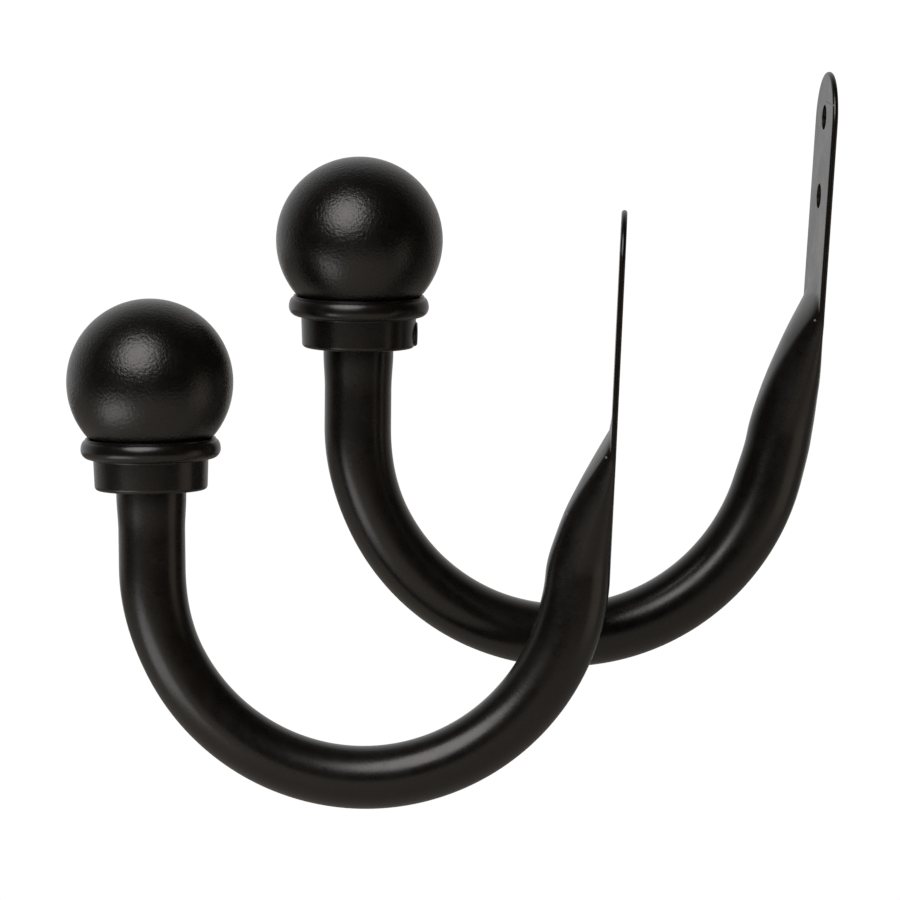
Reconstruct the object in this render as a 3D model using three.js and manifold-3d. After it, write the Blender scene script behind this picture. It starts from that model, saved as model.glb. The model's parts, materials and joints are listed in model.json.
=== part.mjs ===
// A pair of curtain holdbacks.  Each one is a round steel tube bent into a hook: the wall end is
// pressed flat into a tongue with two screw holes, and the free end carries a collar and a ball finial.
// Millimetres, +Z up.  The origin is on the front holdback's wall face, halfway between its screw holes,
// +X points into the wall, and the hook opens towards -X.

import * as THREE from 'three';
import { mergeVertices } from 'three/addons/utils/BufferGeometryUtils.js';
import Module from 'manifold-3d';

const wasm = await Module();
wasm.setup();

// ---------- driving dimensions ----------

const rad = THREE.MathUtils.degToRad;

// tube and bend
const tubeD = 16;
const tubeWall = 0.7;
const tubeSwell = 0.4;              // the free end is swelled by this, on the radius, to sit snugly in the collar
const swellLength = 9;
const bendRadius = 50.8;            // centreline
const bendFlattening = 0.5;         // what the bend takes off the radius in its own plane
const bendWidening = 0.3;           // and adds to it across
const bendFullFrom = rad(110);      // the section has its full bend shape from here
const bendFullTo = rad(150);        // to here
const legLean = rad(3.4);           // the finial leg opens away from the wall
const legLength = 25.6;             // from the end of the bend to the tube's cut end

// flattened wall end
const tongueLength = 53;            // tip to the crease
const pressLength = 35.3;           // crease to full round tube
const wingLength = 7;               // the pressed edges run on past the crease at each side
const pressCurve = 1.45;            // how fast the crown rises out of the crease; the wall side is 1
const holeD = 6;
const holeFromTip = 11;
const holeSpacing = 19;

// collar
const skirtWall = 5.1;              // from the tube socket to the skirt's outside
const skirtTaper = 0.25;            // smaller radius at the rim than under the bead
const skirtAboveScrew = 0.8;        // from the set screw's bore up to the bead
const rimRadius = 1;
const beadStep = 1.1;               // how far the bead stands out past the lip
const beadHeight = 4.9;
const beadUnder = 2.2;              // height of the widest line above the bead's underside
const beadUnderFrom = rad(80);      // where its round underside starts, from level
const lipHeight = 0.4;
const lipWidth = 0.45;
const webDrop = 0.6;                // underside of the web that closes the socket, below the bead
const webThickness = 3;

// finial
const ballD = 40;
const ballFlatD = 25;               // the flat that the ball stands on
const screwD = 5;
const screwHeadD = 9.2;
const screwHeadHeight = 2.9;
const screwHeadRound = 1.5;
const screwEngagement = 10;         // length of thread inside the insert
const recessWidth = 1.1;
const recessSpan = 5;
const recessDepth = 1.6;
const insertD = 8.6;
const insertLength = 12;
const insertFlangeD = 10.6;
const insertFlangeHeight = 1;
const washerD = 8.8;
const washerThickness = 1.2;
const washerSplit = 0.8;
const washerSlant = rad(25);

// set screw in the collar's skirt
const setScrewD = 6;
const setScrewEdge = 0.1;           // from the collar's rim to the bore
const setScrewProud = 0.3;
const setScrewPoint = 1;
const hexAcross = 3;
const hexDepth = 2.6;
const mouthChamfer = 0.5;
const endChamfer = 0.6;             // on the screw's tip and the insert
const faceChamfer = 0.4;            // round the set screw's socket end

// clearances
const socketFit = 0.3;              // tube in the collar's socket, radial
const seatGap = 0.3;                // between pieces that rest on each other
const threadGap = 0.3;              // radial, stands in for the meshed threads
const shankFit = 0.4;               // screw shank through the collar's web, radial
const overrun = 1;                  // how far a cutting tool runs past the surface it cuts

// the pair, as laid out: the rear holdback's own origin and how it is turned
const rearPlace = new THREE.Vector3(47.5, 38, 32.4);
const rearYaw = rad(9.2);
const rearRoll = rad(1.2);
const frontScrewTurn = rad(40);     // where the set screw faces, from the wall direction
const rearScrewTurn = rad(-11);

// ---------- what follows from them ----------

const tubeR = tubeD / 2;
const tubeEndD = tubeD + 2 * tubeSwell;
const tongueThickness = 2 * tubeWall;
const tongueWidth = (Math.PI * (tubeD - 2 * tubeWall)) / 2 + 2 * tubeWall;   // same girth as the tube
const tipZ = holeSpacing / 2 + holeFromTip;
const creaseZ = tipZ - tongueLength;
const bendZ = creaseZ - pressLength;
const bendX = -(tubeR + bendRadius);
const bendAngle = Math.PI - legLean;
const socketD = tubeEndD + 2 * socketFit;
const skirtD = socketD + 2 * skirtWall;
const shankHoleD = screwD + 2 * shankFit;
const setScrewBoreD = setScrewD + 2 * threadGap;

// heights above the collar's rim
const setScrewHeight = setScrewEdge + setScrewBoreD / 2;
const skirtHeight = setScrewEdge + setScrewBoreD + skirtAboveScrew;
const collarHeight = skirtHeight + beadHeight;
const webHeight = skirtHeight - webDrop;
const tubeEndHeight = webHeight - seatGap;
const floorHeight = webHeight + webThickness;   // what the ball sits on
const ballBase = floorHeight + seatGap;
const ballHeight = ballBase + Math.sqrt((ballD / 2) ** 2 - (ballFlatD / 2) ** 2);   // its centre

// the cup that the ball sits in, and the bead round it
const cupR = Math.sqrt((ballD / 2 + seatGap) ** 2 - (ballHeight - collarHeight) ** 2);
const lipR = cupR + lipWidth;
const beadR = lipR + beadStep;

// ---------- materials ----------

const satinBlack = new THREE.MeshStandardMaterial({ color: 0x15130f, roughness: 0.38, metalness: 0.1 });
const ballBlack = new THREE.MeshStandardMaterial({ color: 0x14120f, roughness: 0.3, metalness: 0 });
const zincSteel = new THREE.MeshStandardMaterial({ color: 0x9a9c9e, roughness: 0.35, metalness: 0.9 });
const blackSteel = new THREE.MeshStandardMaterial({ color: 0x202022, roughness: 0.45, metalness: 0.7 });
const brass = new THREE.MeshStandardMaterial({ color: 0xb08d4a, roughness: 0.35, metalness: 0.95 });

// ---------- solids ----------

function toSolid(geometry) {
  const bare = geometry.clone();
  bare.deleteAttribute('normal');
  bare.deleteAttribute('uv');
  const merged = mergeVertices(bare, 1e-4);
  const vertProperties = new Float32Array(merged.attributes.position.array);
  const triVerts = new Uint32Array(merged.index.array);
  return new wasm.Manifold(new wasm.Mesh({ numProp: 3, vertProperties, triVerts }));
}

function toGeometry(solid) {
  const mesh = solid.getMesh();
  const geometry = new THREE.BufferGeometry();
  geometry.setAttribute('position', new THREE.BufferAttribute(new Float32Array(mesh.vertProperties), 3));
  geometry.setIndex(new THREE.BufferAttribute(new Uint32Array(mesh.triVerts), 1));
  geometry.computeVertexNormals();
  return geometry;
}

// A profile of [radius, height] pairs, spun about the Z axis.
function turned(profile, segments = 36) {
  const points = profile.map(([radius, height]) => new THREE.Vector2(radius, height));
  return new THREE.LatheGeometry(points, segments).rotateX(Math.PI / 2);
}

// A stretch of an oval for a profile, from one angle to another about [r, z].
function oval(r, z, halfWidth, halfHeight, from, to, steps) {
  return Array.from({ length: steps + 1 }, (_, i) => {
    const angle = from + ((to - from) * i) / steps;
    return [r + halfWidth * Math.cos(angle), z + halfHeight * Math.sin(angle)];
  });
}

function arc(r, z, radius, from, to, steps) {
  return oval(r, z, radius, radius, from, to, steps);
}

function rod(diameter, length, segments = 24) {
  return new THREE.CylinderGeometry(diameter / 2, diameter / 2, length, segments).rotateX(Math.PI / 2);
}

// Rings of points with equal counts, joined into a closed skin with flat ends.
function loft(rings) {
  const count = rings[0].length;
  const positions = rings.flat().flatMap((point) => point.toArray());
  const index = [];
  for (let ring = 0; ring < rings.length - 1; ring += 1) {
    for (let i = 0; i < count; i += 1) {
      const a = ring * count + i;
      const b = ring * count + ((i + 1) % count);
      index.push(a, b + count, b, a, a + count, b + count);
    }
  }
  for (const [ring, first] of [[rings[0], 0], [rings.at(-1), (rings.length - 1) * count]]) {
    const centre = positions.length / 3;
    const middle = ring.reduce((sum, point) => sum.add(point), new THREE.Vector3()).divideScalar(count);
    positions.push(...middle.toArray());
    for (let i = 0; i < count; i += 1) {
      const a = first + i;
      const b = first + ((i + 1) % count);
      index.push(...(first === 0 ? [centre, a, b] : [centre, b, a]));
    }
  }
  const geometry = new THREE.BufferGeometry();
  geometry.setAttribute('position', new THREE.Float32BufferAttribute(positions, 3));
  geometry.setIndex(index);
  return geometry;
}

// ---------- the bent tube ----------

// Where the points of a quarter section sit, as shares of it; they crowd towards the pressed edge.
const quarterShares = [0, 0.17, 0.34, 0.51, 0.67, 0.82, 0.95];
const sectionShares = [
  ...quarterShares,
  ...[1, ...quarterShares.slice(1).reverse()].map((share) => 2 - share),
  ...quarterShares.map((share) => 2 + share),
  ...[1, ...quarterShares.slice(1).reverse()].map((share) => 4 - share),
];

// Ease from 0 to 1 between two places.
function ease(place, from, to) {
  return THREE.MathUtils.smoothstep(place, from, to);
}

// One section point of the tube, skin thickness `inset` inside the outer surface.  `out` is measured
// from the centreline towards the wall, `across` along Y.  `pressed` runs from the crease to the round tube.
function sectionPoint(share, inset, pressed, inBend, swell) {
  const angle = (share * Math.PI) / 2;
  const radius = tubeR + swell - inset;
  const round = {
    out: (radius - bendFlattening * inBend) * Math.cos(angle),
    across: (radius + bendWidening * inBend) * Math.sin(angle),
  };
  if (pressed >= pressLength) {
    return round;
  }
  const half = share > 2 ? share - 4 : share;              // -2 to 2, 0 in the middle of the wall face
  const fromMiddle = Math.abs(half) <= 1 ? Math.abs(half) : 2 - Math.abs(half);
  const roomSide = Math.abs(half) > 1;
  const atEdge = Math.abs(half) === 1;
  const depth = atEdge ? tongueThickness / 2 : (roomSide ? tongueThickness - inset : inset);
  const flat = {
    out: tubeR - depth,
    across: Math.sign(half) * fromMiddle * (tongueWidth / 2 - inset),
  };
  const start = roomSide ? wingLength * fromMiddle ** 2 : wingLength;
  const share01 = THREE.MathUtils.clamp((pressed - start) / (pressLength - start), 0, 1);
  const curve = roomSide ? THREE.MathUtils.lerp(pressCurve, 1, fromMiddle ** 2) : 1;
  const rise = 1 - (1 - share01) ** curve;
  return {
    out: THREE.MathUtils.lerp(flat.out, round.out, rise),
    across: THREE.MathUtils.lerp(flat.across, round.across, rise),
  };
}

// Stations along the arm: down the tongue, through the pressed stretch, round the bend, up the leg.
function tongueStation(z) {
  return { middle: new THREE.Vector3(-tubeR, 0, z), out: new THREE.Vector3(1, 0, 0), z };
}

function bendStation(angle) {
  const out = new THREE.Vector3(Math.cos(angle), 0, -Math.sin(angle));
  const middle = new THREE.Vector3(bendX, 0, bendZ).addScaledVector(out, bendRadius);
  return { middle, out, inBend: ease(angle, 0, bendFullFrom) * (1 - ease(angle, bendFullTo, bendAngle)) };
}

function legStation(length) {
  const foot = bendStation(bendAngle);
  const up = new THREE.Vector3(-Math.sin(legLean), 0, Math.cos(legLean));
  foot.middle.addScaledVector(up, length);
  return { ...foot, inBend: 0, swell: tubeSwell * ease(length, swellLength, 2 * swellLength) };
}

function armRings(stations, inset, every = 1) {
  return stations.map(({ middle, out, z = bendZ, inBend = 0, swell = 0 }) => sectionShares
    .filter((_, i) => i % every === 0)
    .map((share) => {
      const point = sectionPoint(share, inset, creaseZ - z, inBend, swell);
      return middle.clone().addScaledVector(out, point.out).add(new THREE.Vector3(0, point.across, 0));
    }));
}

function steps(from, to, count) {
  return Array.from({ length: count + 1 }, (_, i) => from + ((to - from) * i) / count);
}

const bendStations = steps(0, bendAngle, 26).slice(1).map(bendStation);
const pressStations = steps(creaseZ, bendZ, 12).map(tongueStation);

// What is left of a block around the tongue's tip once its half circle is taken out.
function tipCorners() {
  const r = tongueWidth / 2;
  const height = r + overrun;
  const block = new THREE.BoxGeometry(4 * tongueThickness, 2 * height, height);
  block.translate(0, 0, tipZ - r + height / 2);
  const round = rod(2 * r, 6 * tongueThickness, 48).rotateY(Math.PI / 2).translate(0, 0, tipZ - r);
  return toSolid(block).subtract(toSolid(round));
}

function armGeometry() {
  const leg = [...steps(swellLength, 2 * swellLength, 3), legLength].map(legStation);
  const outer = toSolid(loft(armRings([tongueStation(tipZ), ...pressStations, ...bendStations, ...leg], 0)));

  // the bore runs from past the cut end to where the walls meet
  const boreEnd = creaseZ - 2 * wingLength;
  const boreLeg = [swellLength, 2 * swellLength, legLength + overrun].map(legStation);
  const boreStart = pressStations.filter(({ z }) => z < boreEnd - overrun);
  const boreStations = [tongueStation(boreEnd), ...boreStart, ...bendStations, ...boreLeg];
  const bore = toSolid(loft(armRings(boreStations, tubeWall, 2)));

  const holes = [holeSpacing / 2, -holeSpacing / 2].map((z) => (
    toSolid(rod(holeD, 4 * tongueThickness).rotateY(Math.PI / 2).translate(0, 0, z))
  ));
  return toGeometry(outer.subtract(bore).subtract(tipCorners()).subtract(holes[0]).subtract(holes[1]));
}

// ---------- the finial, standing on the collar's rim at height 0 ----------

// The bore that the set screw runs in, with its chamfered mouth.
function setScrewBore() {
  const length = skirtD / 2 + overrun;
  const hole = rod(setScrewBoreD, length).rotateY(Math.PI / 2).translate(length / 2, 0, setScrewHeight);
  const depth = mouthChamfer + overrun;
  const mouth = new THREE.CylinderGeometry(setScrewBoreD / 2 + depth, setScrewBoreD / 2, depth, 24);
  mouth.rotateZ(-Math.PI / 2).translate(skirtD / 2 - mouthChamfer + depth / 2, 0, setScrewHeight);
  return toSolid(hole).add(toSolid(mouth));
}

function collarGeometry() {
  const skirtR = skirtD / 2;
  const widest = skirtHeight + beadUnder;
  const underRound = Math.min(beadUnder, beadR - skirtR);
  const profile = [
    [socketD / 2, 0],
    ...arc(skirtR - skirtTaper - rimRadius, rimRadius, rimRadius, -Math.PI / 2, 0, 4),
    [skirtR, skirtHeight],
    ...oval(beadR - underRound, widest, underRound, beadUnder, -beadUnderFrom, 0, 4),
    ...oval(lipR, widest, beadStep, collarHeight - lipHeight - widest, 0, Math.PI / 2, 4).slice(1),
    [lipR, collarHeight],
    [cupR, collarHeight],
    [ballFlatD / 2 + seatGap, floorHeight],
    [shankHoleD / 2, floorHeight],
    [shankHoleD / 2, webHeight],
    [socketD / 2, webHeight],
    [socketD / 2, 0],
  ];
  return toGeometry(toSolid(turned(profile)).subtract(setScrewBore()));
}

function ballGeometry() {
  const bottom = -Math.acos(ballFlatD / ballD);
  const pocketR = insertD / 2 + seatGap;
  const flangeR = insertFlangeD / 2 + seatGap;
  const pocketTop = ballBase + insertLength + 2 * seatGap;
  const flangeTop = ballBase + insertFlangeHeight + 2 * seatGap;
  const profile = [
    ...arc(0, ballHeight, ballD / 2, bottom, Math.PI / 2, 15).slice(0, -1),
    [0, ballHeight + ballD / 2],
    [0, pocketTop],
    [pocketR, pocketTop],
    [pocketR, flangeTop],
    [flangeR, flangeTop],
    [flangeR, ballBase],
  ];
  return turned([...profile, profile[0]]);
}

function insertGeometry() {
  const base = ballBase + seatGap;
  const boreR = screwD / 2 + threadGap;
  return turned([
    [boreR, base],
    [insertFlangeD / 2, base],
    [insertFlangeD / 2, base + insertFlangeHeight],
    [insertD / 2, base + insertFlangeHeight],
    [insertD / 2, base + insertLength - endChamfer],
    [insertD / 2 - endChamfer, base + insertLength],
    [boreR, base + insertLength],
    [boreR, base],
  ], 24);
}

const washerTop = webHeight - seatGap;
const headTop = washerTop - washerThickness - seatGap;

function washerGeometry() {
  const ring = turned([
    [screwD / 2 + threadGap, washerTop - washerThickness],
    [washerD / 2, washerTop - washerThickness],
    [washerD / 2, washerTop],
    [screwD / 2 + threadGap, washerTop],
    [screwD / 2 + threadGap, washerTop - washerThickness],
  ], 24);
  const split = new THREE.BoxGeometry(washerD, washerSplit, 4 * washerThickness);
  split.rotateX(washerSlant).translate(washerD / 2, 0, washerTop - washerThickness / 2);
  return toGeometry(toSolid(ring).subtract(toSolid(split)));
}

function finialScrewGeometry() {
  const headR = screwHeadD / 2;
  const headBottom = headTop - screwHeadHeight;
  const tip = ballBase + screwEngagement;
  const body = turned([
    [0, headBottom],
    ...arc(headR - screwHeadRound, headBottom + screwHeadRound, screwHeadRound, -Math.PI / 2, 0, 3),
    [headR, headTop],
    [screwD / 2, headTop],
    [screwD / 2, tip - endChamfer],
    [screwD / 2 - endChamfer, tip],
    [0, tip],
  ], 24);
  const slots = [0, Math.PI / 2].map((turn) => {
    const slot = new THREE.BoxGeometry(recessSpan, recessWidth, 2 * recessDepth);
    return toSolid(slot.rotateZ(turn).translate(0, 0, headBottom));
  });
  return toGeometry(toSolid(body).subtract(slots[0].add(slots[1])));
}

function setScrewGeometry() {
  const inner = tubeEndD / 2 + seatGap;
  const outer = skirtD / 2 + setScrewProud;
  const body = turned([
    [0, inner],
    [setScrewD / 2 - setScrewPoint, inner],
    [setScrewD / 2, inner + setScrewPoint],
    [setScrewD / 2, outer - faceChamfer],
    [setScrewD / 2 - faceChamfer, outer],
    [0, outer],
  ], 24);
  const hexR = hexAcross / Math.sqrt(3);
  const socket = new THREE.CylinderGeometry(hexR, hexR, 2 * hexDepth, 6);
  socket.rotateX(Math.PI / 2).translate(0, 0, outer);
  const screw = toGeometry(toSolid(body).subtract(toSolid(socket)));
  return screw.rotateY(Math.PI / 2).translate(0, 0, setScrewHeight);
}

// ---------- assembly ----------

function piece(name, geometry, material) {
  const mesh = new THREE.Mesh(geometry, material);
  mesh.name = name;
  return mesh;
}

function holdback(side, screwTurn) {
  const group = new THREE.Group();
  group.add(piece(`${side}_arm`, armGeometry(), satinBlack));

  const finial = new THREE.Group();
  finial.position.copy(legStation(legLength - tubeEndHeight).middle);
  finial.rotation.y = -legLean;
  const screwed = new THREE.Group();
  screwed.rotation.z = screwTurn;
  screwed.add(
    piece(`${side}_collar`, collarGeometry(), satinBlack),
    piece(`${side}_set_screw`, setScrewGeometry(), blackSteel),
  );
  finial.add(
    screwed,
    piece(`${side}_ball`, ballGeometry(), ballBlack),
    piece(`${side}_insert`, insertGeometry(), brass),
    piece(`${side}_finial_screw`, finialScrewGeometry(), zincSteel),
    piece(`${side}_lock_washer`, washerGeometry(), zincSteel),
  );
  group.add(finial);
  return group;
}

const front = holdback('front', frontScrewTurn);

const rear = holdback('rear', rearScrewTurn);
rear.position.copy(rearPlace);
rear.rotation.set(0, rearRoll, rearYaw);

const pair = new THREE.Group();
pair.add(front, rear);

export default pair;
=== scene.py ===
import json
import math

import bmesh
import bpy
from mathutils import Matrix, Vector


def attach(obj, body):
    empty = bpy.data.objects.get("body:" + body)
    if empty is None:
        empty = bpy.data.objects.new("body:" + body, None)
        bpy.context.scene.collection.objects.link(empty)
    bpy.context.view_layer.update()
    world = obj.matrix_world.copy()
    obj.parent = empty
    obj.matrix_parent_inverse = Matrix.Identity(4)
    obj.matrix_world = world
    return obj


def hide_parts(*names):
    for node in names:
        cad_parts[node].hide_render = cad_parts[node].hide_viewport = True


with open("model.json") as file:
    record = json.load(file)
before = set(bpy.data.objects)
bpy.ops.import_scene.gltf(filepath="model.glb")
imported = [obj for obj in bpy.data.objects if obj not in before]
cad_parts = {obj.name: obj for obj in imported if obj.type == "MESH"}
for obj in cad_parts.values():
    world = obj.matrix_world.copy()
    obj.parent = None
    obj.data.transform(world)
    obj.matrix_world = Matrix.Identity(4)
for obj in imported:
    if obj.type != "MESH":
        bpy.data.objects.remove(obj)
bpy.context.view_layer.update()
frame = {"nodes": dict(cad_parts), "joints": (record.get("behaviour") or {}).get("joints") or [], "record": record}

# A pair of satin black curtain holdbacks. Metres, +Z up, the wall on the +X side of each tongue.

tiny = 1e-5                                                  # tells places apart
spinGap = 2e-6                                               # points this close are one after a spin
cutGap = 1e-5                                                # and after a cut
mounts = {mount["name"]: mount for mount in frame["record"]["mounts"]}
joints = {joint["name"]: joint for joint in frame["joints"]}
print("frame loaded:", len(frame["nodes"]), "nodes")


camera = {
    "target": (-0.0397, 0.0, -0.03898),
    "distance": 7.0,
    "lens": 1171.0,
    "sensor": 36.0,
    "elevation": math.radians(5.25),
    "roll": math.radians(2.69),
}


def cameraAxes():
    right = Vector((1, 0, 0))
    up = Vector((0, math.sin(camera["elevation"]), math.cos(camera["elevation"])))
    back = right.cross(up)
    turn = camera["roll"]
    return right * math.cos(turn) + up * math.sin(turn), up * math.cos(turn) - right * math.sin(turn), back


def addCamera():
    right, up, back = cameraAxes()
    place = Vector(camera["target"]) + back * camera["distance"]
    data = bpy.data.cameras.new("camera")
    data.lens = camera["lens"]
    data.sensor_width = camera["sensor"]
    data.clip_end = 3 * camera["distance"]
    view = bpy.data.objects.new("camera", data)
    view.matrix_world = Matrix.Translation(place) @ Matrix((right, up, back)).transposed().to_4x4()
    bpy.context.scene.collection.objects.link(view)
    bpy.context.scene.camera = view


addCamera()
print("camera set")


def startPiece():
    if bpy.context.object and bpy.context.object.mode != "OBJECT":
        bpy.ops.object.mode_set(mode="OBJECT")
    bpy.ops.object.select_all(action="DESELECT")


def namePiece(name):
    piece = bpy.context.object
    piece.name = name
    piece.data.name = name
    bpy.ops.object.transform_apply(location=True, rotation=True, scale=True)
    return piece


def activate(piece):
    startPiece()
    piece.select_set(True)
    bpy.context.view_layer.objects.active = piece


def edit(piece):
    activate(piece)
    bpy.ops.object.mode_set(mode="EDIT")
    bpy.ops.mesh.select_mode(type="VERT")
    bpy.ops.mesh.select_all(action="DESELECT")


def doneEditing():
    bpy.ops.object.mode_set(mode="OBJECT")


# selects the vertices that pass a test on their place, and the edges and faces between them
def pickVerts(piece, test):
    mesh = bmesh.from_edit_mesh(piece.data)
    mesh.verts.ensure_lookup_table()
    for vert in mesh.verts:
        vert.select = bool(test(vert.co))
    mesh.select_flush_mode()
    bmesh.update_edit_mesh(piece.data)


def pickFaces(piece, test):
    bpy.ops.mesh.select_mode(type="FACE")
    mesh = bmesh.from_edit_mesh(piece.data)
    for face in mesh.faces:
        face.select = bool(test(face.calc_center_median(), face.normal))
    mesh.select_flush_mode()
    bmesh.update_edit_mesh(piece.data)


def extrude(move):
    bpy.ops.mesh.extrude_region_move(TRANSFORM_OT_translate={"value": tuple(move)})


def scaleBy(factor, centre):
    bpy.ops.transform.resize(value=(factor, factor, factor), center_override=tuple(centre))


# moves every vertex from index `first` on, by a function of its place
def reshape(piece, move, first=0):
    mesh = bmesh.from_edit_mesh(piece.data)
    mesh.verts.ensure_lookup_table()
    for vert in mesh.verts[first:]:
        vert.co = move(vert.co)
    bmesh.update_edit_mesh(piece.data)


def weld(piece, distance=spinGap):
    bpy.ops.mesh.select_mode(type="VERT")
    bpy.ops.mesh.select_all(action="SELECT")
    bpy.ops.mesh.remove_doubles(threshold=distance)
    bpy.ops.mesh.normals_make_consistent(inside=False)


# spins an outline of (radius, height) points round the Z axis; one that starts and ends alike is a ring
def turnOutline(name, outline, steps):
    startPiece()
    bpy.ops.mesh.primitive_plane_add(size=0.001, location=(outline[0][0], 0, outline[0][1]))
    piece = namePiece(name)
    edit(piece)
    bpy.ops.mesh.select_all(action="SELECT")
    bpy.ops.mesh.merge(type="CENTER")
    for (radius, height), (nextRadius, nextHeight) in zip(outline, outline[1:]):
        extrude((nextRadius - radius, 0, nextHeight - height))
    bpy.ops.mesh.select_all(action="SELECT")
    bpy.ops.mesh.spin(steps=steps, angle=2 * math.pi, center=(0, 0, 0), axis=(0, 0, 1))
    weld(piece)
    doneEditing()
    return piece


def arcPoints(radius, height, wide, tall, start, end, steps):
    angles = [math.radians(start + (end - start) * i / steps) for i in range(steps + 1)]
    return [(radius + wide * math.cos(a), height + tall * math.sin(a)) for a in angles]


def applyModifier(piece, kind, **settings):
    activate(piece)
    modifier = piece.modifiers.new(kind.lower(), kind)
    for key, value in settings.items():
        setattr(modifier, key, value)
    bpy.ops.object.modifier_apply(modifier=modifier.name)


def cutWith(piece, cutter):
    applyModifier(piece, "BOOLEAN", operation="DIFFERENCE", solver="EXACT", object=cutter)
    bpy.data.objects.remove(cutter)


# rounds the corners sharper than `angle`, then shades smooth with the big faces kept flat
def finishSurface(piece, rounding, angle=40, segments=3):
    applyModifier(piece, "BEVEL", width=rounding, segments=segments, limit_method="ANGLE",
                  angle_limit=math.radians(angle), use_clamp_overlap=True, miter_outer="MITER_ARC")
    activate(piece)
    bpy.ops.object.shade_smooth()
    applyModifier(piece, "WEIGHTED_NORMAL", mode="FACE_AREA", weight=50, keep_sharp=False)


# a copy with its own mesh, moved into its place in the frame
def placeCopy(piece, name, place):
    copy = bpy.data.objects.new(name, piece.data.copy())
    copy.data.name = name
    bpy.context.scene.collection.objects.link(copy)
    copy.data.transform(place)
    return copy


# where a holdback stands: X into the wall, Z up its tongue, from its mount and its finial's axis
def hookPlace(side):
    mount = mounts[f"{side}_wall_face"]
    xAxis = Vector(mount["axis"]).normalized()
    yAxis = Vector(joints[f"{side}_finial_turn"]["axis"]).cross(xAxis).normalized()
    turn = Matrix((xAxis, yAxis, xAxis.cross(yAxis))).transposed().to_4x4()
    return Matrix.Translation(Vector(mount["pos_m"])) @ turn


# where a finial stands: Z up its axis from the collar's rim, X towards its set screw
def finialPlace(side):
    joint = joints[f"{side}_finial_turn"]
    zAxis = Vector(joint["axis"]).normalized()
    yAxis = zAxis.cross(Vector(joints[f"{side}_set_screw_out"]["axis"])).normalized()
    turn = Matrix((yAxis.cross(zAxis), yAxis, zAxis)).transposed().to_4x4()
    return Matrix.Translation(Vector(joint["pos_m"])) @ turn


# the bent tube with its flattened tongue
arm = {
    "tube": 0.008,              # radius
    "wall": 0.0007,
    "bend": 0.0508,             # radius of the bend's centreline
    "flattening": 0.0005,       # what the bend takes off the radius in its own plane
    "widening": 0.0003,
    "flatFrom": math.radians(110),      # round the bend from the wall side, fully flattened here
    "flatTo": math.radians(150),        # up to here
    "lean": math.radians(3.4),
    "leg": 0.0256,
    "swell": 0.0004,            # the last stretch of the leg is this much fatter
    "swellFrom": 0.009,
    "tip": 0.0205,              # top of the tongue above its middle
    "tongue": 0.053,
    "press": 0.0353,            # crease to round tube
    "crown": 0.0009,            # the crease stands this much higher in the middle
    "wing": 0.003,              # and comes down this much towards the edges
    "wingTip": 0.005,           # with a steeper drop at the folds
    "wingTipPower": 8,
    "pressCurve": 1.28,
    "ridgeLag": 1.15,           # how long the folded edge stays by the wall
    "arch": 0.65,               # how much the room side is crowned while it is half pressed
    "archPower": 6,             # how soon after the flat the crown is full
    "softEnd": 0.15,            # share of the press over which it runs out into the bend
    "hole": 0.003,
    "holes": (0.0095, -0.0095),
    "holeSteps": 72,
    "around": 112,
    "crowding": 0.36,
    "bendSteps": 110,
    "legSteps": 22,
    "pressSteps": 60,
    "tongueSteps": 12,
    "tipSteps": 40,
    "rounding": 0.00022,
    "waist": 0.0005,            # the room side is this much slimmer where the press runs into the bend
    "waistLow": (-0.078, -0.066),
    "waistHigh": (-0.060, -0.050),
    "boreStop": 0.014,          # how far below the crease the bore ends
    "boreLegSteps": 8,
    "boreBendSteps": 55,
    "borePressSteps": 16,
}
fold = arm["wall"]                                           # radius of the folded edges
tongueHalf = math.pi * (arm["tube"] - fold) / 2 + fold       # same girth as the tube
crease = arm["tip"] - arm["tongue"]
bendTop = crease - arm["press"]
tipCentre = arm["tip"] - tongueHalf
bendCentre = Vector((-arm["tube"] - arm["bend"], 0, bendTop))
bendAngle = math.pi - arm["lean"]
legUp = Vector((-math.sin(arm["lean"]), 0, math.cos(arm["lean"])))
legFoot = bendCentre - arm["bend"] * Vector((math.cos(arm["lean"]), 0, math.sin(arm["lean"])))


def ease(value, low, high):
    share = min(max((value - low) / (high - low), 0), 1)
    return share * share * (3 - 2 * share)


# radius of the leg at a length up from its foot
def legRadius(length):
    return arm["tube"] + arm["swell"] * ease(length, arm["swellFrom"], 2 * arm["swellFrom"])


# the section at a rise from flat, 0, to round, 1. An arc share of 0 is the middle of the wall face, 1 the
# folded edge and 2 the middle of the room face
def sectionPoint(share, rise, inset):
    cap = fold + (arm["tube"] - fold) * rise - inset
    half = math.pi * (arm["tube"] - fold) * (1 - rise) / 2
    ridge = fold + (arm["tube"] - fold) * rise ** arm["ridgeLag"] - inset
    deep = ridge if share <= 1 else 2 * cap - ridge
    corner = math.pi / 2 * math.sqrt((deep * deep + cap * cap) / 2)
    fromEdge = abs(share - 1) * (corner + half)
    if fromEdge < corner:
        angle = math.pi / 2 * fromEdge / corner
        depth, across = deep * math.sin(angle), half + cap * math.cos(angle)
    else:
        depth, across = deep, half - (fromEdge - corner)
    if share > 1:
        arched = arm["arch"] * half / (half + cap) * (1 - (1 - rise) ** arm["archPower"])
        depth *= 1 - arched * (across / (half + cap)) ** 2
    return -inset - ridge + (depth if share <= 1 else -depth), across


# slides a round ring's points towards where the folded edges will be
def crowded(point):
    angle = math.atan2(point.y, point.x + arm["tube"])
    angle += arm["crowding"] * math.sin(2 * angle)
    return Vector((arm["tube"] * (math.cos(angle) - 1), arm["tube"] * math.sin(angle), point.z))


# how round the section is at a share of the press: 0 is flat, 1 round
def fillOut(along, curve):
    soft = arm["softEnd"]

    def grown(left):
        return (left * left + soft * soft) ** (curve / 2) - soft ** curve

    return 1 - grown(1 - along) / grown(1)


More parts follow.
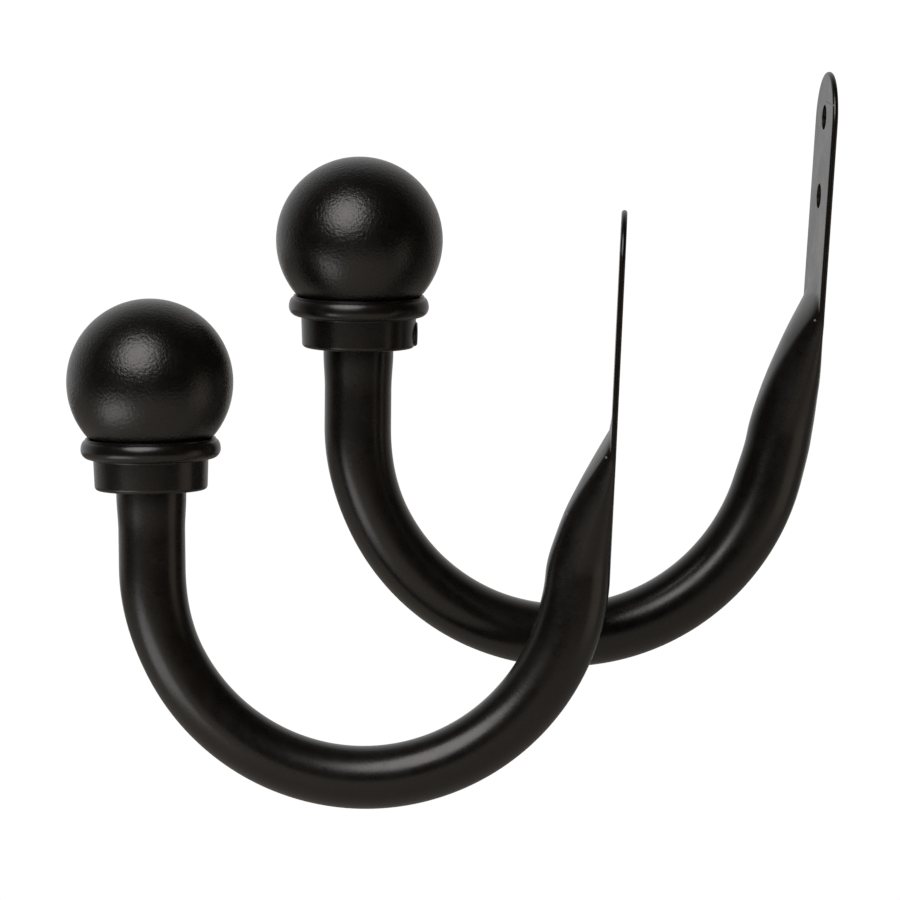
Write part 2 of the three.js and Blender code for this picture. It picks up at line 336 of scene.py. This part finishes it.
# a point of a straight round tube, moved to where the press leaves it
def pressed(point, inset=0):
    if point.z <= bendTop + tiny or point.x < bendCentre.x:
        return point
    share = 2 * math.atan2(abs(point.y), point.x + arm["tube"]) / math.pi
    side = math.copysign(1, point.y) if abs(point.y) > tiny else 0
    nearness = min(share, 2 - share) if share > 1 else 1
    start = arm["wing"] * nearness ** 2 + arm["wingTip"] * nearness ** arm["wingTipPower"] - arm["crown"]
    curve = arm["pressCurve"] + (1 - arm["pressCurve"]) * nearness ** 2
    along = min(max((crease - point.z - start) / (arm["press"] - start), 0), 1)
    x, y = sectionPoint(share, fillOut(along, curve), inset)
    return Vector((x, side * y, point.z))


# the bend flattens the tube a little in its own plane
def flattened(point):
    if point.z > bendTop + tiny or (point - legFoot).dot(legUp) > tiny and point.x < bendCentre.x:
        return point
    spoke = point - bendCentre
    angle = math.atan2(-spoke.z, spoke.x)
    amount = ease(angle, 0, arm["flatFrom"]) * (1 - ease(angle, arm["flatTo"], bendAngle))
    reach = math.hypot(spoke.x, spoke.z)
    out = (reach - arm["bend"]) * (1 - amount * arm["flattening"] / arm["tube"])
    scale = (arm["bend"] + out) / reach
    y = spoke.y * (1 + amount * arm["widening"] / arm["tube"])
    return bendCentre + Vector((spoke.x * scale, y, spoke.z * scale))


def waisted(point):
    if point.x < bendCentre.x:
        return point
    amount = ease(point.z, *arm["waistLow"]) * (1 - ease(point.z, *arm["waistHigh"]))
    return Vector((point.x * (1 - amount * arm["waist"] / (2 * arm["tube"])), point.y, point.z))


def makeArm():
    startPiece()
    bpy.ops.mesh.primitive_circle_add(vertices=arm["around"], radius=arm["tube"],
                                      location=(-arm["tube"], 0, bendTop))
    piece = namePiece("armShape")
    edit(piece)
    reshape(piece, crowded)
    bpy.ops.mesh.select_all(action="SELECT")
    bpy.ops.mesh.spin(steps=arm["bendSteps"], angle=bendAngle, center=tuple(bendCentre), axis=(0, -1, 0))
    length = 0
    for step in range(arm["legSteps"]):
        nextLength = arm["leg"] * (step + 1) / arm["legSteps"]
        extrude(legUp * (nextLength - length))
        factor = legRadius(nextLength) / legRadius(length)
        length = nextLength
        scaleBy(factor, legFoot + legUp * length)
    pickVerts(piece, lambda p: abs(p.z - bendTop) < tiny and p.x > -3 * arm["tube"])
    for step in range(arm["pressSteps"]):
        extrude((0, 0, arm["press"] / arm["pressSteps"]))
    for step in range(arm["tongueSteps"]):
        extrude((0, 0, (tipCentre - crease) / arm["tongueSteps"]))
    reshape(piece, lambda p: waisted(flattened(pressed(p))))
    pickVerts(piece, lambda p: abs(p.z - tipCentre) < tiny and p.y > -tiny)
    bpy.ops.mesh.spin(steps=arm["tipSteps"], angle=math.pi, center=(0, 0, tipCentre), axis=(-1, 0, 0))
    weld(piece)
    doneEditing()
    return piece


# lines the tube from its cut end back to where the walls meet
def makeBore(piece):
    edit(piece)
    first = len(piece.data.vertices)
    end = legFoot + legUp * arm["leg"]
    pickVerts(piece, lambda p: abs((p - end).dot(legUp)) < tiny and p.x < bendCentre.x)
    outer = arm["tube"] + arm["swell"]
    bpy.ops.mesh.extrude_region_move()
    scaleBy((outer - arm["wall"]) / outer, end)
    length = arm["leg"]
    for step in reversed(range(arm["boreLegSteps"])):
        nextLength = arm["leg"] * step / arm["boreLegSteps"]
        extrude(legUp * (nextLength - length))
        factor = (legRadius(nextLength) - arm["wall"]) / (legRadius(length) - arm["wall"])
        length = nextLength
        scaleBy(factor, legFoot + legUp * length)
    bpy.ops.mesh.spin(steps=arm["boreBendSteps"], angle=bendAngle, center=tuple(bendCentre), axis=(0, 1, 0))
    rise = crease - arm["boreStop"] - bendTop
    for step in range(arm["borePressSteps"]):
        extrude((0, 0, rise / arm["borePressSteps"]))
    bpy.ops.mesh.edge_face_add()
    reshape(piece, lambda p: waisted(flattened(pressed(p, arm["wall"]))), first)
    doneEditing()


def drillHoles(piece):
    for height in arm["holes"]:
        startPiece()
        bpy.ops.mesh.primitive_cylinder_add(vertices=arm["holeSteps"], radius=arm["hole"], depth=8 * fold,
                                            location=(-fold, 0, height), rotation=(0, math.pi / 2, 0))
        cutWith(piece, namePiece("drill"))
    edit(piece)
    weld(piece, cutGap)
    doneEditing()


armShape = makeArm()
makeBore(armShape)
drillHoles(armShape)
finishSurface(armShape, arm["rounding"])
print("arm modelled:", len(armShape.data.vertices), "points")


# the turned collar that the ball sits in
collar = {
    "rim": 0.0138,              # radius of the skirt under the bead
    "taper": 0.00025,
    "rimRound": 0.001,
    "rimSteps": 10,
    "rimInner": 0.00025,
    "socket": 0.0087,
    "socketTop": 0.0069,
    "skirt": 0.0075,
    "underFillet": 0.00035,     # hollow corner between skirt and bead
    "filletSteps": 6,
    "bead": 0.0168,
    "widest": 0.0097,
    "beadFrom": -80,            # degrees round the bead's underside
    "beadSteps": 12,
    "top": 0.0124,
    "lip": 0.0157,
    "lipHeight": 0.0004,
    "mouth": 0.01525,
    "floor": 0.0099,
    "cupSteps": 6,
    "shank": 0.0029,
    "setScrewBore": 0.0033,
    "setScrewHeight": 0.0034,
    "mouthChamfer": 0.00015,
    "boreSteps": 96,
    "steps": 192,
    "rounding": 0.00012,
}

ball = {
    "radius": 0.02,
    "flat": 0.0125,
    "base": 0.0102,             # above the collar's rim
    "flangePocket": 0.0056,
    "flangeDepth": 0.0016,
    "pocket": 0.0046,
    "pocketDepth": 0.0126,
    "around": 160,
    "rings": 80,
    "rounding": 0.0003,
    "roundFrom": 30,            # degrees between faces
}
ballHeight = ball["base"] + math.sqrt(ball["radius"] ** 2 - ball["flat"] ** 2)


# the cup's wall follows the ball, from the mouth down to the floor
def cupOutline():
    steps = collar["cupSteps"]
    seat = math.hypot(collar["mouth"], ballHeight - collar["top"])
    heights = [collar["top"] + (collar["floor"] - collar["top"]) * i / steps for i in range(1, steps + 1)]
    return [(math.sqrt(seat ** 2 - (ballHeight - height) ** 2), height) for height in heights]


def makeCollar():
    rim, skirt, fillet = collar["rim"], collar["skirt"], collar["underFillet"]
    under = collar["widest"] - skirt
    outline = [
        (collar["socket"], collar["rimInner"]),
        (collar["socket"] + collar["rimInner"], 0),
        *arcPoints(rim - collar["taper"] - collar["rimRound"], collar["rimRound"],
                   collar["rimRound"], collar["rimRound"], -90, 0, collar["rimSteps"]),
        (rim, skirt - fillet),
        *arcPoints(rim + fillet, skirt - fillet, fillet, fillet, 180, 90, collar["filletSteps"])[1:],
        *arcPoints(collar["bead"] - under, collar["widest"], under, under,
                   collar["beadFrom"], 0, collar["beadSteps"]),
        *arcPoints(collar["lip"], collar["widest"], collar["bead"] - collar["lip"],
                   collar["top"] - collar["lipHeight"] - collar["widest"], 0, 90, collar["beadSteps"])[1:],
        (collar["lip"], collar["top"]),
        (collar["mouth"], collar["top"]),
        *cupOutline(),
        (collar["shank"], collar["floor"]),
        (collar["shank"], collar["socketTop"]),
        (collar["socket"], collar["socketTop"]),
        (collar["socket"], collar["rimInner"]),
    ]
    piece = turnOutline("collarShape", outline, collar["steps"])
    bore, chamfer = collar["setScrewBore"], collar["mouthChamfer"]
    place = {"location": (rim, 0, collar["setScrewHeight"]), "rotation": (0, math.pi / 2, 0)}
    startPiece()
    bpy.ops.mesh.primitive_cylinder_add(vertices=collar["boreSteps"], radius=bore, depth=rim, **place)
    cutWith(piece, namePiece("screwBore"))
    startPiece()
    bpy.ops.mesh.primitive_cone_add(vertices=collar["boreSteps"], radius1=bore, radius2=bore + 2 * chamfer,
                                    depth=2 * chamfer, **place)
    cutWith(piece, namePiece("boreMouth"))
    edit(piece)
    weld(piece, cutGap)
    doneEditing()
    finishSurface(piece, collar["rounding"])
    return piece


collarShape = makeCollar()
print("collar modelled:", len(collarShape.data.vertices), "points")


def makeBall():
    startPiece()
    bpy.ops.mesh.primitive_uv_sphere_add(segments=ball["around"], ring_count=ball["rings"],
                                         radius=ball["radius"], location=(0, 0, ballHeight))
    piece = namePiece("ballShape")
    edit(piece)
    bpy.ops.mesh.select_all(action="SELECT")
    bpy.ops.mesh.bisect(plane_co=(0, 0, ball["base"]), plane_no=(0, 0, 1), use_fill=True, clear_inner=True)
    pickFaces(piece, lambda p, n: n.z < -0.999 and p.z < ball["base"] + tiny)
    bpy.ops.mesh.inset(thickness=ball["flat"] - ball["flangePocket"])
    extrude((0, 0, ball["flangeDepth"]))
    bpy.ops.mesh.inset(thickness=ball["flangePocket"] - ball["pocket"])
    extrude((0, 0, ball["pocketDepth"] - ball["flangeDepth"]))
    doneEditing()
    finishSurface(piece, ball["rounding"], angle=ball["roundFrom"])
    return piece


ballShape = makeBall()
print("ball modelled:", len(ballShape.data.vertices), "points")


def standIn(shape, side, node, body, place):
    piece = placeCopy(shape, f"{side}_{node}_skin", place)
    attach(piece, body)
    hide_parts(f"{side}_{node}")
    return piece


pieces = {}
for side in ("front", "rear"):
    hook, finial = hookPlace(side), finialPlace(side)
    pieces[side, "arm"] = standIn(armShape, side, "arm", f"{side}_hook", hook)
    pieces[side, "collar"] = standIn(collarShape, side, "collar", f"{side}_finial", finial)
    pieces[side, "ball"] = standIn(ballShape, side, "ball", f"{side}_knob", finial)
for shape in (armShape, collarShape, ballShape):
    bpy.data.objects.remove(shape)


# the rear tube stands out a little towards the wall where its press ends; heights on the holdback
rearBulge = {
    "depth": 0.0010,
    "low": -0.078,
    "lowFull": -0.062,
    "highFull": -0.055,
    "high": -0.038,
}


def bulge(piece, place):
    back = place.inverted()

    def moved(point):
        local = back @ point
        if local.x > bendCentre.x:
            amount = ease(local.z, rearBulge["low"], rearBulge["lowFull"])
            amount *= 1 - ease(local.z, rearBulge["highFull"], rearBulge["high"])
            local.x += amount * rearBulge["depth"]
        return place @ local

    edit(piece)
    reshape(piece, moved)
    doneEditing()


bulge(pieces["rear", "arm"], hookPlace("rear"))
print("pieces placed:", len(pieces))


class Group:
    def __init__(self, name, inputs, outputs):
        self.tree = bpy.data.node_groups.new(name, "ShaderNodeTree")
        for socketName, kind, value in inputs:
            socket = self.tree.interface.new_socket(name=socketName, in_out="INPUT", socket_type=kind)
            socket.default_value = value
        for socketName, kind in outputs:
            self.tree.interface.new_socket(name=socketName, in_out="OUTPUT", socket_type=kind)
        self.source = self.tree.nodes.new("NodeGroupInput").outputs
        self.result = self.tree.nodes.new("NodeGroupOutput").inputs


# an input is named with _ for a space, or is i and its number
def feed(tree, made, inputs):
    for key, value in inputs.items():
        numbered = key[0] == "i" and key[1:].isdigit()
        socket = made.inputs[int(key[1:]) if numbered else key.replace("_", " ")]
        if isinstance(value, bpy.types.NodeSocket):
            tree.links.new(value, socket)
        else:
            socket.default_value = value


def node(tree, kind, settings=None, **inputs):
    made = tree.nodes.new(kind)
    for key, value in (settings or {}).items():
        setattr(made, key, value)
    feed(tree, made, inputs)
    return made


def link(tree, source, target):
    tree.links.new(source, target)


def calc(tree, operation, *values):
    return node(tree, "ShaderNodeMath", {"operation": operation},
                **{f"i{i}": value for i, value in enumerate(values)}).outputs[0]


def noise(tree, place, scale, detail=2.0, roughness=0.5):
    return node(tree, "ShaderNodeTexNoise", Vector=place, Scale=scale, Detail=detail,
                Roughness=roughness).outputs["Fac"]


def ramp(tree, value, low, high, toLow=0.0, toHigh=1.0):
    return node(tree, "ShaderNodeMapRange", {"interpolation_type": "SMOOTHSTEP"}, Value=value, From_Min=low,
                From_Max=high, To_Min=toLow, To_Max=toHigh).outputs["Result"]


# patterns in the finishes: scales per metre, shares, and where a pattern starts and ends
patterns = {
    "grit": 3.7,                # times finer than the bumps it lies in
    "broad": 60.0,
    "close": 420.0,
    "broadShare": 0.6,
    "stain": 500.0,
    "ringShare": 0.6,
    "raggedness": 2500.0,
    "coatFrom": 0.36,
    "coatTo": 0.64,
    "ringFrom": 0.35,
    "ringTo": 0.65,
    "raggedLeast": 0.6,
    "raggedMore": 0.8,
    "chipFrom": 0.75,
    "chipTo": 1.15,
    "chipReach": -0.002,        # a chip fades out from here to the holdback's middle
}


# soft bumps of sprayed lacquer, with a finer grit in them
def orangePeelGroup():
    group = Group("orange peel", [("Place", "NodeSocketVector", (0, 0, 0)),
                                  ("Bumps per metre", "NodeSocketFloat", 1500.0),
                                  ("Grit", "NodeSocketFloat", 0.2)],
                  [("Height", "NodeSocketFloat")])
    tree, source = group.tree, group.source
    coarse = noise(tree, source["Place"], source["Bumps per metre"], 1.0, 0.4)
    finer = calc(tree, "MULTIPLY", source["Bumps per metre"], patterns["grit"])
    fine = noise(tree, source["Place"], finer, detail=1.0)
    height = calc(tree, "ADD", coarse, calc(tree, "MULTIPLY", fine, source["Grit"]))
    link(tree, height, group.result["Height"])
    return group.tree


def blended(tree, first, second, share):
    return calc(tree, "ADD", calc(tree, "MULTIPLY", first, share), calc(tree, "MULTIPLY", second, 1 - share))


# colour and gloss that wander over a sprayed surface
def coatGroup():
    group = Group("coat", [("Place", "NodeSocketVector", (0, 0, 0)),
                           ("Dark", "NodeSocketColor", (0.006, 0.006, 0.006, 1)),
                           ("Light", "NodeSocketColor", (0.01, 0.01, 0.01, 1)),
                           ("Glossy", "NodeSocketFloat", 0.3),
                           ("Dull", "NodeSocketFloat", 0.4)],
                  [("Colour", "NodeSocketColor"), ("Roughness", "NodeSocketFloat")])
    tree, source = group.tree, group.source
    broad = noise(tree, source["Place"], patterns["broad"], detail=3.0, roughness=0.6)
    close = noise(tree, source["Place"], patterns["close"], detail=3.0, roughness=0.6)
    blend = blended(tree, broad, close, patterns["broadShare"])
    mask = ramp(tree, blend, patterns["coatFrom"], patterns["coatTo"])
    mix = node(tree, "ShaderNodeMix", {"data_type": "RGBA"}, i0=mask, i6=source["Dark"], i7=source["Light"])
    link(tree, mix.outputs[2], group.result["Colour"])
    gloss = node(tree, "ShaderNodeMapRange", Value=mask, To_Min=source["Glossy"], To_Max=source["Dull"])
    link(tree, gloss.outputs["Result"], group.result["Roughness"])
    return group.tree


def lengthOf(tree, first, second):
    squares = calc(tree, "ADD", calc(tree, "MULTIPLY", first, first), calc(tree, "MULTIPLY", second, second))
    return calc(tree, "SQRT", squares)


# fine rings left by a lathe round the Z axis of `Place`
def turnedGroup():
    group = Group("turned metal", [("Place", "NodeSocketVector", (0, 0, 0)),
                                   ("Rings per metre", "NodeSocketFloat", 6000.0),
                                   ("Dark", "NodeSocketColor", (0.3, 0.3, 0.3, 1)),
                                   ("Light", "NodeSocketColor", (0.5, 0.5, 0.5, 1)),
                                   ("Glossy", "NodeSocketFloat", 0.2),
                                   ("Dull", "NodeSocketFloat", 0.4)],
                  [("Colour", "NodeSocketColor"),
                   ("Roughness", "NodeSocketFloat"),
                   ("Height", "NodeSocketFloat")])
    tree, source = group.tree, group.source
    split = node(tree, "ShaderNodeSeparateXYZ", Vector=source["Place"])
    x, y, z = split.outputs
    radius = lengthOf(tree, x, y)
    lines = node(tree, "ShaderNodeCombineXYZ", X=radius, Y=z).outputs[0]
    fine = noise(tree, lines, source["Rings per metre"], 2.0, 0.6)
    stain = noise(tree, source["Place"], patterns["stain"], detail=3.0, roughness=0.6)
    mask = ramp(tree, blended(tree, fine, stain, patterns["ringShare"]), patterns["ringFrom"],
                patterns["ringTo"])
    mix = node(tree, "ShaderNodeMix", {"data_type": "RGBA"}, i0=mask, i6=source["Dark"], i7=source["Light"])
    link(tree, mix.outputs[2], group.result["Colour"])
    gloss = node(tree, "ShaderNodeMapRange", Value=mask, To_Min=source["Glossy"], To_Max=source["Dull"])
    link(tree, gloss.outputs["Result"], group.result["Roughness"])
    link(tree, fine, group.result["Height"])
    return group.tree


# a chip in the lacquer round `Centre`: 1 inside it and 0 outside. It runs along Y, all over the -Y side
def chipGroup():
    group = Group("chip", [("Place", "NodeSocketVector", (0, 0, 0)),
                           ("Centre", "NodeSocketVector", (0, 0, 0)),
                           ("Radius", "NodeSocketFloat", 0.0004)],
                  [("Mask", "NodeSocketFloat")])
    tree, source = group.tree, group.source
    away = node(tree, "ShaderNodeVectorMath", {"operation": "SUBTRACT"}, i0=source["Place"],
                i1=source["Centre"])
    split = node(tree, "ShaderNodeSeparateXYZ", Vector=away.outputs[0])
    x, y, z = split.outputs
    reach = lengthOf(tree, x, z)
    edge = noise(tree, source["Place"], patterns["raggedness"], roughness=0.6)
    uneven = calc(tree, "MULTIPLY", edge, patterns["raggedMore"])
    ragged = calc(tree, "ADD", patterns["raggedLeast"], uneven)
    share = calc(tree, "DIVIDE", reach, calc(tree, "MULTIPLY", source["Radius"], ragged))
    inside = ramp(tree, share, patterns["chipFrom"], patterns["chipTo"], 1.0, 0.0)
    near = ramp(tree, y, patterns["chipReach"], 0.0, 1.0, 0.0)
    link(tree, calc(tree, "MULTIPLY", inside, near), group.result["Mask"])
    return group.tree


orangePeel = orangePeelGroup()
coat = coatGroup()
turnedMetal = turnedGroup()
chip = chipGroup()


def useGroup(tree, group, **inputs):
    made = tree.nodes.new("ShaderNodeGroup")
    made.node_tree = group
    feed(tree, made, inputs)
    return made


def newMaterial(name):
    material = bpy.data.materials.new(name)
    material.use_nodes = True
    tree = material.node_tree
    return material, tree, tree.nodes["Principled BSDF"]


satinBlack = {
    "dark": (0.0040, 0.0030, 0.0023, 1),
    "light": (0.0062, 0.0048, 0.0038, 1),
    "glossy": 0.25,
    "dull": 0.31,
    "bumps": 1300.0,
    "grit": 0.25,
    "bumpDepth": 0.000014,
    "bumpStrength": 0.7,
}
ballBlack = {
    "dark": (0.0034, 0.0028, 0.0023, 1),
    "light": (0.0056, 0.0047, 0.0040, 1),
    "glossy": 0.25,
    "dull": 0.29,
    "bumps": 1500.0,
    "grit": 0.35,
    "bumpDepth": 0.00009,
    "bumpStrength": 0.9,
}
chips = {                       # place on each holdback, in its own directions, and radius
    "bare": (0.16, 0.155, 0.15, 1),
    "dull": 0.6,
    "front": [
        ((-0.0058, 0, -0.0393), 0.0004),
        ((-0.0113, 0, -0.0525), 0.00042),
        ((-0.0024, 0, -0.0380), 0.0003),
    ],
    "rear": [
        ((-0.0022, 0, -0.0385), 0.00026),
        ((-0.0012, 0, 0.0134), 0.00024),
    ],
}


# coordinates that lie along a piece's own directions
def localPlace(tree, place):
    objectPlace = node(tree, "ShaderNodeTexCoord").outputs["Object"]
    return node(tree, "ShaderNodeMapping", {"vector_type": "TEXTURE"}, Vector=objectPlace,
                Location=tuple(place.to_translation()), Rotation=tuple(place.to_euler())).outputs[0]


def addChips(tree, shader, place, side):
    colour = shader.inputs["Base Color"].links[0].from_socket
    gloss = shader.inputs["Roughness"].links[0].from_socket
    for centre, radius in chips[side]:
        mask = useGroup(tree, chip, Place=place, Centre=centre, Radius=radius).outputs["Mask"]
        colour = node(tree, "ShaderNodeMix", {"data_type": "RGBA"}, i0=mask, i6=colour,
                      i7=chips["bare"]).outputs[2]
        gloss = node(tree, "ShaderNodeMix", {"data_type": "FLOAT"}, i0=mask, i2=gloss,
                     i3=chips["dull"]).outputs[0]
    link(tree, colour, shader.inputs["Base Color"])
    link(tree, gloss, shader.inputs["Roughness"])


def sprayedMaterial(name, look, place=None, side=None):
    material, tree, shader = newMaterial(name)
    place = localPlace(tree, place or Matrix())
    tone = useGroup(tree, coat, Place=place, Dark=look["dark"], Light=look["light"],
                    Glossy=look["glossy"], Dull=look["dull"])
    link(tree, tone.outputs["Colour"], shader.inputs["Base Color"])
    link(tree, tone.outputs["Roughness"], shader.inputs["Roughness"])
    peel = useGroup(tree, orangePeel, Place=place, Bumps_per_metre=look["bumps"], Grit=look["grit"])
    bump = node(tree, "ShaderNodeBump", Strength=look["bumpStrength"], Distance=look["bumpDepth"],
                Height=peel.outputs["Height"])
    link(tree, bump.outputs["Normal"], shader.inputs["Normal"])
    if side:
        addChips(tree, shader, place, side)
    return material


# the small metal parts; rings are per metre
blackenedSteel = {
    "dark": (0.010, 0.010, 0.010, 1),
    "light": (0.022, 0.021, 0.020, 1),
    "metallic": 0.4,
    "glossy": 0.26,
    "dull": 0.40,
    "rings": 9000.0,
    "ringDepth": 0.000006,
}
brightSteel = {
    "dark": (0.42, 0.41, 0.38, 1),
    "light": (0.60, 0.59, 0.56, 1),
    "metallic": 1.0,
    "glossy": 0.22,
    "dull": 0.38,
    "rings": 7000.0,
    "ringDepth": 0.000012,
}
springSteel = {
    "dark": (0.30, 0.29, 0.28, 1),
    "light": (0.46, 0.45, 0.43, 1),
    "metallic": 1.0,
    "glossy": 0.28,
    "dull": 0.45,
    "rings": 5000.0,
    "ringDepth": 0.000010,
}
brass = {
    "dark": (0.52, 0.36, 0.14, 1),
    "light": (0.70, 0.52, 0.24, 1),
    "metallic": 1.0,
    "glossy": 0.20,
    "dull": 0.36,
    "rings": 7000.0,
    "ringDepth": 0.000010,
}
metals = {
    "set_screw": blackenedSteel,
    "finial_screw": brightSteel,
    "lock_washer": springSteel,
    "insert": brass,
}
ringStrength = 0.6


def metalMaterial(name, metal, place):
    material, tree, shader = newMaterial(name)
    turned = useGroup(tree, turnedMetal, Place=localPlace(tree, place), Rings_per_metre=metal["rings"],
                      Dark=metal["dark"], Light=metal["light"], Glossy=metal["glossy"], Dull=metal["dull"])
    link(tree, turned.outputs["Colour"], shader.inputs["Base Color"])
    link(tree, turned.outputs["Roughness"], shader.inputs["Roughness"])
    shader.inputs["Metallic"].default_value = metal["metallic"]
    bump = node(tree, "ShaderNodeBump", Strength=ringStrength, Distance=metal["ringDepth"],
                Height=turned.outputs["Height"])
    link(tree, bump.outputs["Normal"], shader.inputs["Normal"])
    return material


# the set screw's own axis, out of the collar
def setScrewPlace(side):
    height = Matrix.Translation((0, 0, collar["setScrewHeight"]))
    return finialPlace(side) @ height @ Matrix.Rotation(math.pi / 2, 4, "Y")


def paint(piece, material):
    piece.data.materials.clear()
    piece.data.materials.append(material)


collarPaint = sprayedMaterial("satin black collar", satinBlack)
ballPaint = sprayedMaterial("black ball lacquer", ballBlack)
for side in ("front", "rear"):
    paint(pieces[side, "arm"], sprayedMaterial(f"{side} satin black tube", satinBlack, hookPlace(side), side))
    paint(pieces[side, "collar"], collarPaint)
    paint(pieces[side, "ball"], ballPaint)
    for part, metal in metals.items():
        place = setScrewPlace(side) if part == "set_screw" else finialPlace(side)
        finish = metalMaterial(f"{side} {part.replace('_', ' ')}", metal, place)
        for materialSlot in frame["nodes"][f"{side}_{part}"].material_slots:
            materialSlot.material = finish
print("materials made")


# floor and light
studio = {
    "floorHeight": -0.30,
    "floorFrom": (-1.1, -1.9),
    "floorTo": (4.2, 1.1),
    "floorColour": (0.66, 0.62, 0.57, 1),
    "mottle": 1.04,             # its lighter patches, times its colour
    "mottleScale": 9.0,
    "floorDull": 0.9,
    "floorSpecular": 0.1,
    "seenLevel": 1.02,          # of the plain background
    "backLevel": 0.70,
    "frontLevel": 0.015,
    "backFrom": 0.0,            # dot of a direction with the way the camera looks, where the light starts
    "backFull": 0.85,
    "rightReach": 0.85,         # the right side is dimmer, down to `rightShare` this far round
    "rightShare": 0.55,
    "rightColour": (1, 0.93, 0.85, 1),
}
# each lamp's place is an angle from the camera's line and a turn about it, in degrees
keyLight = {
    "toward": 43.0,
    "turn": 117.0,
    "distance": 1.2,
    "radius": 0.50,
    "level": 4.7,
    "colour": (1, 0.95, 0.92),
}
fillLight = {
    "toward": 69.0,
    "turn": 220.0,
    "distance": 0.42,
    "radius": 0.15,
    "level": 2.3,
    "colour": (1, 1, 1),
}
warmLight = {
    "toward": 80.0,
    "turn": -12.0,
    "distance": 0.7,
    "radius": 0.25,
    "level": 0.5,
    "colour": (1, 0.85, 0.70),
}


def addFloor():
    startPiece()
    (left, near), (right, far) = studio["floorFrom"], studio["floorTo"]
    middle = ((left + right) / 2, (near + far) / 2, studio["floorHeight"])
    bpy.ops.mesh.primitive_plane_add(size=1, location=middle)
    bpy.ops.transform.resize(value=(right - left, far - near, 1))
    floor = namePiece("floor")
    material, tree, shader = newMaterial("floor")
    place = node(tree, "ShaderNodeTexCoord").outputs["Object"]
    patches = noise(tree, place, studio["mottleScale"])
    plain = studio["floorColour"]
    light = tuple(studio["mottle"] * value for value in plain[:3]) + (1,)
    mix = node(tree, "ShaderNodeMix", {"data_type": "RGBA"}, i0=patches, i6=plain, i7=light)
    link(tree, mix.outputs[2], shader.inputs["Base Color"])
    shader.inputs["Roughness"].default_value = studio["floorDull"]
    shader.inputs["Specular IOR Level"].default_value = studio["floorSpecular"]
    paint(floor, material)


# a round lamp that shines at the pair; its level is how bright its face is, whatever its size
def addLamp(name, lamp):
    right, up, back = cameraAxes()
    toward, turn = math.radians(lamp["toward"]), math.radians(lamp["turn"])
    direction = back * math.cos(toward) + (right * math.cos(turn) + up * math.sin(turn)) * math.sin(toward)
    data = bpy.data.lights.new(name, "AREA")
    data.shape = "DISK"
    data.size = 2 * lamp["radius"]
    data.energy = lamp["level"] * math.pi * math.pi * lamp["radius"] ** 2
    data.color = lamp["colour"]
    light = bpy.data.objects.new(name, data)
    place = Vector(camera["target"]) + direction * lamp["distance"]
    light.matrix_world = Matrix.Translation(place) @ direction.to_track_quat("Z", "Y").to_matrix().to_4x4()
    light.visible_camera = False
    bpy.context.scene.collection.objects.link(light)


# bright behind the pair, dim on the camera's side, dimmer and warmer on the right; seen plain white
def addWorld():
    world = bpy.data.worlds.new("studio")
    bpy.context.scene.world = world
    world.use_nodes = True
    tree = world.node_tree
    shader = tree.nodes["Background"]
    direction = node(tree, "ShaderNodeTexCoord").outputs["Generated"]
    forward = -cameraAxes()[2]
    facing = node(tree, "ShaderNodeVectorMath", {"operation": "DOT_PRODUCT"}, i0=direction,
                  i1=tuple(forward)).outputs["Value"]
    level = ramp(tree, facing, studio["backFrom"], studio["backFull"], studio["frontLevel"],
                 studio["backLevel"])
    rightward = node(tree, "ShaderNodeVectorMath", {"operation": "DOT_PRODUCT"}, i0=direction,
                     i1=tuple(cameraAxes()[0])).outputs["Value"]
    share = node(tree, "ShaderNodeMapRange", Value=rightward, From_Max=studio["rightReach"], To_Min=1.0,
                 To_Max=studio["rightShare"]).outputs["Result"]
    level = calc(tree, "MULTIPLY", level, share)
    seen = node(tree, "ShaderNodeLightPath").outputs["Is Camera Ray"]
    strength = node(tree, "ShaderNodeMix", {"data_type": "FLOAT"}, i0=seen, i2=level,
                    i3=studio["seenLevel"])
    link(tree, strength.outputs[0], shader.inputs["Strength"])
    warmth = ramp(tree, rightward, 0.0, studio["rightReach"])
    colour = node(tree, "ShaderNodeMix", {"data_type": "RGBA"}, i0=warmth, i6=(1, 1, 1, 1),
                  i7=studio["rightColour"])
    plain = node(tree, "ShaderNodeMix", {"data_type": "RGBA"}, i0=seen, i6=colour.outputs[2], i7=(1, 1, 1, 1))
    link(tree, plain.outputs[2], shader.inputs["Color"])


addFloor()
addLamp("key lamp", keyLight)
addLamp("fill lamp", fillLight)
addLamp("warm lamp", warmLight)
addWorld()
bpy.context.scene.view_settings.view_transform = "Standard"
print("studio lit")
